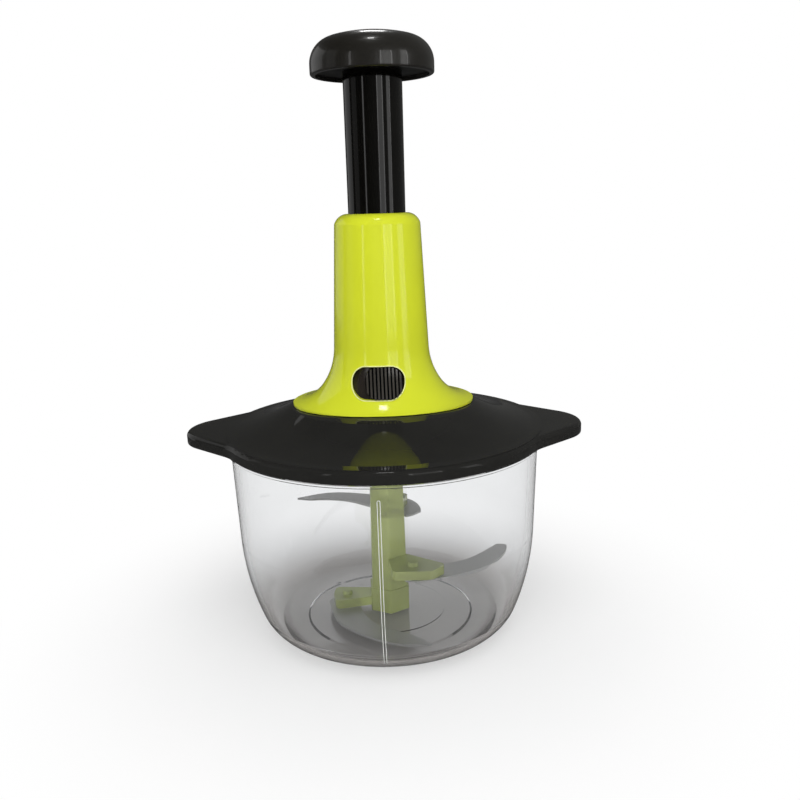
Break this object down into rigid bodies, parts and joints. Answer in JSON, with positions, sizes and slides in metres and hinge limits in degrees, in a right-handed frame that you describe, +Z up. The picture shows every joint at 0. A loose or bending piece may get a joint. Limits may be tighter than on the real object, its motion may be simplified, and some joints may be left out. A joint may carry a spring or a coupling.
{
  "type": "plunger food chopper",
  "caption": "Push-down food chopper: round clear bowl, dark lid with two grip ears, lime column with a lock button, dark plunger knob and a stem of stacked curved blades.",
  "frame": {"origin": "centre of the bowl's foot, on the table", "axes": "+Z up along the plunger axis, -Y the front with the lock window, the lid's ears along X"},
  "size_m": [0.19, 0.1536, 0.275],
  "materials": {
    "clear_bowl": "clear, glossy",
    "steel": "satin",
    "lime_clear": "translucent, glossy",
    "lime_gloss": "glossy",
    "dark_gloss": "glossy",
    "dark_matte": "fine matt",
    "white_plastic": "smooth, low friction",
    "seal_rubber": "soft, matt"
  },
  "bodies": {
    "bowl_body": {"bowl": "clear_bowl", "bowl_pin": "steel"},
    "blades": {"blade_holder": "lime_clear", "holder_bush": "white_plastic", "blade_lower": "steel", "blade_middle": "steel", "blade_upper": "steel", "blade_pegs": "lime_clear"},
    "lid_body": {"lid": "dark_gloss", "lid_liner": "dark_matte", "lid_seal": "seal_rubber", "liner_screws": "steel", "drive_housing": "dark_matte", "hub_bush": "white_plastic", "column": "lime_gloss", "column_bush": "dark_matte", "guide_sleeve": "dark_matte", "column_screws": "steel", "lock_retainer": "steel"},
    "plunger": {"knob": "dark_gloss", "knob_base": "dark_matte", "plunger_tube": "dark_gloss", "knob_screw": "steel", "drive_nut": "white_plastic", "nut_pins": "steel"},
    "drive": {"spiral_strip": "steel", "strip_pin": "steel", "drive_hub": "white_plastic", "drive_head": "white_plastic", "spring_seat": "steel", "return_spring": "steel"},
    "lock": {"lock_ring": "dark_matte", "lock_button": "dark_gloss"}
  },
  "joints": [
    {"name": "lid_lift", "type": "slide", "parent": "bowl_body", "child": "lid_body", "axis": [0, 0, 1], "range_m": [0, 0.15]},
    {"name": "plunger_slide", "type": "slide", "parent": "lid_body", "child": "plunger", "axis": [0, 0, -1], "range_m": [0, 0.057], "stiffness_N_per_m": 120, "springref_m": -0.03, "deforming": ["return_spring"]},
    {"name": "drive_turn", "type": "hinge", "parent": "lid_body", "child": "drive", "pos_m": [0, 0, 0.103], "axis": [0, 0, 1], "range_deg": [-545, 5]},
    {"name": "blade_turn", "type": "hinge", "parent": "bowl_body", "child": "blades", "pos_m": [0, 0, 0.011], "axis": [0, 0, 1], "range_deg": [-545, 5]},
    {"name": "lock_turn", "type": "hinge", "parent": "lid_body", "child": "lock", "pos_m": [0, 0, 0.12], "axis": [0, 0, 1], "range_deg": [-12.4, 0]}
  ],
  "couplings": [
    {"joint": "drive_turn", "follows": "plunger_slide", "rad_per_m": -165.35},
    {"joint": "blade_turn", "follows": "plunger_slide", "rad_per_m": -165.35}
  ]
}
